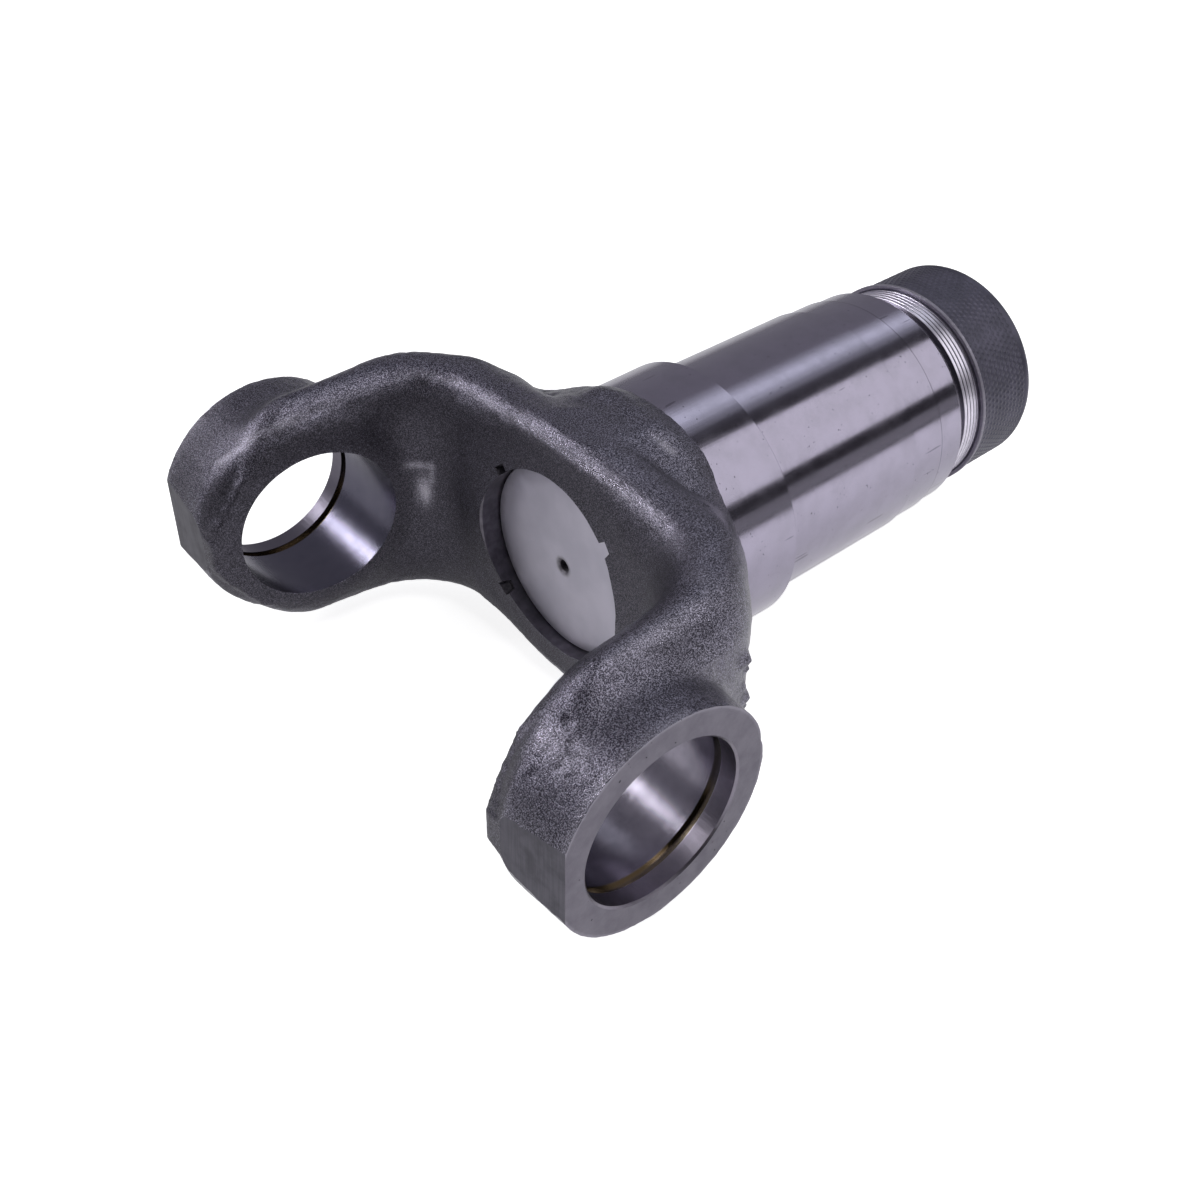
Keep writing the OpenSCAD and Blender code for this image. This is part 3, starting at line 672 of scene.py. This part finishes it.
# The thread on the sleeve's neck, part of the forging's own steel, holds the dust cap. It is cut with a
# single point, so that one flat-topped ridge winds along the neck and runs in under the cap.
class Jig(Board):
    """A Geometry Nodes tree with named inputs for its sizes, which makes one piece."""

    def __init__(self, name, sizes):
        super().__init__(bpy.data.node_groups.new(name, "GeometryNodeTree"))
        self.tree.interface.new_socket("Geometry", in_out="OUTPUT", socket_type="NodeSocketGeometry")
        self.sizes = {}
        for label, value in sizes.items():
            kind = "NodeSocketInt" if isinstance(value, int) else "NodeSocketFloat"
            socket = self.tree.interface.new_socket(label, in_out="INPUT", socket_type=kind)
            socket.default_value = value
            self.sizes[socket.identifier] = value
        self.given = self.node("NodeGroupInput")

    def make(self, geometry, finish):
        """Ends the tree in real geometry with its finish, and makes a plain mesh object with it."""
        real = self.node("GeometryNodeRealizeInstances", {}, {"Geometry": geometry})[0]
        coated = self.node("GeometryNodeSetMaterial", {}, {"Geometry": real, "Material": finish})[0]
        self.node("NodeGroupOutput", {}, {0: coated})
        piece = bpy.data.objects.new(self.tree.name, bpy.data.meshes.new(self.tree.name))
        bpy.context.scene.collection.objects.link(piece)
        modifier = piece.modifiers.new(self.tree.name, "NODES")
        modifier.node_group = self.tree
        for identifier, value in self.sizes.items():
            modifier[identifier] = value
        mesh = bpy.data.meshes.new_from_object(piece.evaluated_get(bpy.context.evaluated_depsgraph_get()))
        piece.modifiers.remove(modifier)
        piece.data = mesh
        return piece


def smooth(piece):
    """Smooth shading, with the turned corners kept sharp."""
    for polygon in piece.data.polygons:
        polygon.use_smooth = True
    piece.data.set_sharp_from_angle(angle=math.radians(28))


PITCH, RIDGE, TURNS = 1.0, 0.66, 5.0
CREST_TURN = math.radians(30)
cut_thread = Finish("cut_thread", 1.0, 0.25)
reach = from_axis(cut_thread.y, cut_thread.z)
# The thread's steel is painted much lighter than the sleeve's, a painted highlight, and painted shade
# darkens it below each crest.
colour = cut_thread.blend(cut_thread.noise(2.0).over(0.3, 0.7), tone(222, 216, 230), tone(206, 201, 216))
colour = cut_thread.blend(reach.over(THREAD_R - 0.03, THREAD_R - 0.15), colour, tone(96, 92, 104))
thread_finish = cut_thread.feed(Base_Color=colour, Roughness=0.26 + 0.1 * cut_thread.noise(1.0))
winding = Jig("thread_turns", {
    "Turns": TURNS, "Core radius": (THREAD_R - RIDGE * math.cos(CREST_TURN)) * MM, "Pitch": PITCH * MM,
    "Ridge": RIDGE * MM, "Start": (THREAD_X + 0.2) * MM})
given = winding.given
spiral = winding.node("GeometryNodeCurveSpiral", {}, {
    "Resolution": 96, "Rotations": given["Turns"], "Start Radius": given["Core radius"],
    "End Radius": given["Core radius"], "Height": given["Turns"] * given["Pitch"]})[0]
upright = winding.node("GeometryNodeSetCurveNormal", {"mode": "Z_UP"}, {"Curve": spiral})[0]
point = winding.node("GeometryNodeCurvePrimitiveCircle", {}, {"Resolution": 6, "Radius": given["Ridge"]})[0]
level = winding.node("GeometryNodeTransform", {}, {"Geometry": point, "Rotation": (0, 0, CREST_TURN)})[0]
swept = winding.node("GeometryNodeCurveToMesh", {},
                     {"Curve": upright, "Profile Curve": level, "Fill Caps": True})[0]
start = winding.node("ShaderNodeCombineXYZ", {}, {0: given["Start"]})[0]
on_neck = winding.node("GeometryNodeTransform", {}, {
    "Geometry": swept, "Translation": start, "Rotation": (0, math.pi / 2, 0)})[0]
thread = winding.make(on_neck, thread_finish)
smooth(thread)
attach(thread, "root")

# The core plug: a pressed steel disc, driven into the base to close the spline's bore, with a small
# vent hole punched just below its middle.
VENT_R, VENT_DROP, VENT_FLARE = 1.3, 1.3, 0.35
plug_steel = Finish("plug_steel", 0.55, 0.5)
clouds = plug_steel.noise(9.0, 3.0, 0.5)
ghost = plug_steel.noise(1.0, 2.0, 0.5)
reach = from_axis(plug_steel.y, plug_steel.z)
from_vent = from_axis(plug_steel.y, plug_steel.z + VENT_DROP)
soot = (from_vent + 0.5 * ghost).over(VENT_R + 1.4, VENT_R)
rim = (reach + 1.2 * ghost).over(PLUG_R - 1.8, PLUG_R)
colour = plug_steel.blend(clouds.over(0.3, 0.7), tone(204, 200, 214), tone(192, 189, 203))
colour = plug_steel.blend(soot * 0.8, colour, tone(52, 44, 46))
colour = plug_steel.blend(rim * 0.35, colour, tone(110, 107, 117))
plug_finish = plug_steel.feed(Base_Color=colour, Roughness=0.44 + 0.1 * clouds,
                              Normal=plug_steel.bump(0.012, plug_steel.noise(0.4, 2.0)))
plug = turned("core_plug_disc", [
    (PLUG_FACE, 0), (PLUG_FACE, PLUG_R - 0.9), (PLUG_FACE + 0.1, PLUG_R - 0.35),
    (PLUG_FACE + 0.6, PLUG_R - 0.02), (PLUG_FACE + PLUG_T, PLUG_R - 0.02),
    (PLUG_FACE + PLUG_T, 0)], steps=160, material=plug_finish)
vent = turned("vent_punch", [
    (PLUG_FACE - 1, 0), (PLUG_FACE - 1, VENT_R + VENT_FLARE), (PLUG_FACE, VENT_R + VENT_FLARE),
    (PLUG_FACE + VENT_FLARE, VENT_R - 0.1), (PLUG_FACE + PLUG_T + 1, VENT_R - 0.1),
    (PLUG_FACE + PLUG_T + 1, 0)], steps=18, material=plug_finish)
vent.data.transform(Matrix.Translation((0, 0, -VENT_DROP * MM)))
change(plug, vent, "DIFFERENCE")
smooth(plug)
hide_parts("core_plug")
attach(plug, "root")

# The dust cap: a turned steel cap, blackened, with a thin lip at its mouth. It screws over the
# sleeve's thread and holds a washer and a seal.
CAP_R, CAP_LEN, LIP, LIP_W, CAP_WALL = 21.7, 16.5, 0.4, 0.9, 1.6
MOUTH_R, MOUTH_END, CAP_BORE_R, SHAFT_R = THREAD_R + 0.06, CAP_X + 1.4, THREAD_CORE + 0.13, MAJOR_R + 0.5
CAP_END = CAP_X + CAP_LEN
black = Finish("cap_black", 0.6, 0.5)
wipe = black.noise(4.0, 3.0)
lip_sheen_breakup = black.noise(0.6, 2.0).over(0.55, 0.75)
near_mouth = black.x.over(CAP_X + 1.0, CAP_X + 0.8)
# The lip's face is painted light: a painted highlight, broken up by noise.
lip_face = from_axis(black.y, black.z).over(CAP_R - 0.3, CAP_R - 0.2) * near_mouth
colour = black.blend(wipe.over(0.3, 0.7), tone(84, 81, 97), tone(72, 70, 84))
colour = black.blend(lip_face * (0.45 + 0.4 * lip_sheen_breakup), colour, tone(176, 170, 184))
cap_finish = black.feed(Base_Color=colour, Roughness=0.36 + 0.10 * wipe,
                        Normal=black.bump(0.01, black.noise(0.4)))
cap = turned("dust_cap_shell", [
    (CAP_X, MOUTH_R), (CAP_X, CAP_R + LIP - 0.12), (CAP_X + 0.12, CAP_R + LIP),
    (CAP_X + LIP_W - 0.15, CAP_R + LIP), (CAP_X + LIP_W, CAP_R + LIP - 0.15), (CAP_X + LIP_W, CAP_R - 0.1),
    (CAP_END - 1.9, CAP_R - 0.1), (CAP_END - 1.7, CAP_R), (CAP_END - 1.0, CAP_R),
    (CAP_END - 0.45, CAP_R - 0.25), (CAP_END - 0.1, CAP_R - 0.8), (CAP_END, CAP_R - 1.3),
    (CAP_END, SHAFT_R + 0.3), (CAP_END - 0.3, SHAFT_R), (CAP_END - CAP_WALL, SHAFT_R),
    (CAP_END - CAP_WALL, CAP_BORE_R), (MOUTH_END, CAP_BORE_R), (MOUTH_END, MOUTH_R)],
    material=cap_finish)
smooth(cap)
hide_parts("dust_cap")
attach(cap, "root")

# The cap's knurl: rows of small slanting teeth, rolled into its side for grip, each row half a tooth
# further round than the last.
KNURL_X, KNURL_SUNK, KNURL_STEP, KNURL_TOOTH, KNURL_POINT = CAP_X + 1.6, 0.14, 1.22, 0.82, 0.16
rolling = Jig("cap_knurl", {
    "Teeth round": 104, "Rings": 11, "Radius": (CAP_R - KNURL_SUNK) * MM, "Start": KNURL_X * MM,
    "Ring step": KNURL_STEP * MM, "Tooth": KNURL_TOOTH * MM})
given = rolling.given
number = rolling.node("GeometryNodeInputIndex")[0]
row = (number / given["Teeth round"]).math_of("FLOOR")
angle = (number % given["Teeth round"] + row * 0.5) / given["Teeth round"] * (2 * math.pi)
where = rolling.node("ShaderNodeCombineXYZ", {}, {
    0: row * given["Ring step"] + given["Start"], 1: angle.math_of("COSINE") * given["Radius"],
    2: angle.math_of("SINE") * given["Radius"]})[0]
spots = rolling.node("GeometryNodePoints", {}, {
    "Count": given["Teeth round"] * given["Rings"], "Position": where})[0]
tooth = rolling.node("GeometryNodeMeshCone", {}, {
    "Vertices": 4, "Radius Top": KNURL_POINT * MM, "Depth": KNURL_POINT * MM,
    "Radius Bottom": given["Tooth"]})["Mesh"]
lean = rolling.node("ShaderNodeCombineXYZ", {}, {0: angle - math.pi / 2})[0]
sown = rolling.node("GeometryNodeInstanceOnPoints", {}, {
    "Points": spots, "Instance": tooth, "Rotation": lean})[0]
knurl = rolling.make(sown, cap_finish)
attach(knurl, "root")

# Inside the cap, a flat steel washer backs the seal, and the seal's ring of black rubber wipes the
# splined shaft. The CAD's own rings have the right shape, so they only get their finish.
washer_steel = Finish("washer_steel", 1.0, 0.35)
clouds = washer_steel.noise(2.0).over(0.3, 0.7)
colour = washer_steel.blend(clouds, tone(150, 148, 156), tone(120, 118, 126))
washer_finish = washer_steel.feed(Base_Color=colour)
rubber = Finish("seal_rubber", 0.0, 0.6)
clouds = rubber.noise(3.0).over(0.3, 0.7)
rubber_finish = rubber.feed(Base_Color=rubber.blend(clouds, tone(34, 34, 36), tone(24, 24, 26)),
                            Roughness=0.55 + 0.15 * rubber.noise(1.0),
                            Normal=rubber.bump(0.03, rubber.noise(0.5)))
for node, finish in (("cap_washer", washer_finish), ("cap_seal", rubber_finish)):
    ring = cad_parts[node].data
    ring.materials.clear()
    ring.materials.append(finish)

# The floor and the studio: a white table under the part, a large window to its right, weak cards above
# and low down that give the turned steel its bands, and two hard lamps that draw the forging's ridges.
FLOOR_Z, FLOOR_GLOW = -29.2, 0.85
scene = bpy.context.scene
table_corners = ((-0.8, -0.9), (0.9, -0.9), (0.9, 0.8), (-0.8, 0.8))
floor_mesh = bpy.data.meshes.new("floor")
floor_mesh.from_pydata([(a, b, FLOOR_Z * MM) for a, b in table_corners], [], [(0, 1, 2, 3)])
floor = bpy.data.objects.new("floor", floor_mesh)
scene.collection.objects.link(floor)
table = Finish("floor_white", 0.0, 0.9)
ray = table.node("ShaderNodeLightPath")
mirrored = ray["Is Glossy Ray"] * table.y.over(-150, 150, 0.60, 0.12)
glow = table.node("ShaderNodeEmission", {}, {"Strength": FLOOR_GLOW * ray["Is Camera Ray"] + mirrored})[0]
lit = table.node("ShaderNodeAddShader", {}, {0: Flow(table, table.shader.outputs[0]), 1: glow})[0]
table.fill(table.tree.nodes["Material Output"], {"Surface": lit})
floor_mesh.materials.append(table.feed(Base_Color=(0.8, 0.8, 0.8)))

# The world: a weak cool sky, brighter towards the far side, that the camera sees as plain white.
scene.world = bpy.data.worlds.new("studio")
scene.world.use_nodes = True
studio = Board(scene.world.node_tree)
seen = studio.node("ShaderNodeLightPath")["Is Camera Ray"]
way = studio.node("ShaderNodeTexCoord")["Generated"]
rise = studio.node("ShaderNodeSeparateXYZ", {}, {0: way})["Y"].over(-0.25, 0.45, 0.04, 0.30)
studio.fill(studio.tree.nodes["Background"], {
    "Color": studio.blend(seen, (0.93, 0.92, 1.0), (1, 1, 1)), "Strength": rise.most(seen)})


def window(name, place, faces, radiance, length, width, along=(1, 0, 0), tint=(1, 1, 1)):
    """A soft rectangular light in millimetres, with one side laid along a direction."""
    lamp = bpy.data.lights.new(name, "AREA")
    lamp.shape, lamp.size, lamp.size_y = "RECTANGLE", length * MM, width * MM
    lamp.energy = radiance * math.pi * length * width * MM * MM
    lamp.color = tint
    thing = bpy.data.objects.new(name, lamp)
    scene.collection.objects.link(thing)
    first = Vector(along).normalized()
    back = Vector(place) - Vector(faces)
    back = (back - back.dot(first) * first).normalized()
    turn = Matrix((first, back.cross(first), back)).transposed().to_4x4()
    turn.translation = Vector(place) * MM
    thing.matrix_world = turn
    thing.visible_camera = False


window("right_window", (560, -295, 346), (560, 0, 0), 1.25, 900, 415)
window("low_card", (560, -560, 60), (560, 0, 0), 0.30, 900, 110)
window("end_card", (1000, -60, 110), (120, 0, 0), 0.45, 420, 300, (0, 1, 0))
for wide, card in ((210, 0.28), (130, 0.39), (60, 0.39)):
    window(f"overhead_card_{wide}", (500, 104 - wide * 0.05, 388), (500, 0, 0), card, 860, wide,
           tint=(0.89, 0.95, 1.0))
window("left_window", (-370, 440, 390), (20, 0, 0), 13.0, 200, 200, (0.76, 0.65, 0))
window("top_window", (20, -270, 620), (20, 0, 0), 8.0, 200, 200)

# The camera stands where the photograph's stood, as fitted to the part's edges: its own right, up and
# forward directions, its place in metres, its lens and the shift of the frame.
camera_data = bpy.data.cameras.new("camera")
camera_data.lens, camera_data.sensor_width = 43.868, 36.0
camera_data.shift_x, camera_data.shift_y = -0.01523, -0.04214
camera = bpy.data.objects.new("camera", camera_data)
scene.collection.objects.link(camera)
right, up, forward = (0.75142, -0.65939, 0.02397), (0.39808, 0.48202, 0.7805), (0.52621, 0.57695, -0.62469)
turn = Matrix((right, up, tuple(-v for v in forward))).transposed().to_4x4()
turn.translation = (-0.102196, -0.156801, 0.165598)
camera.matrix_world = turn
scene.camera = camera
scene.view_settings.view_transform = "Standard"
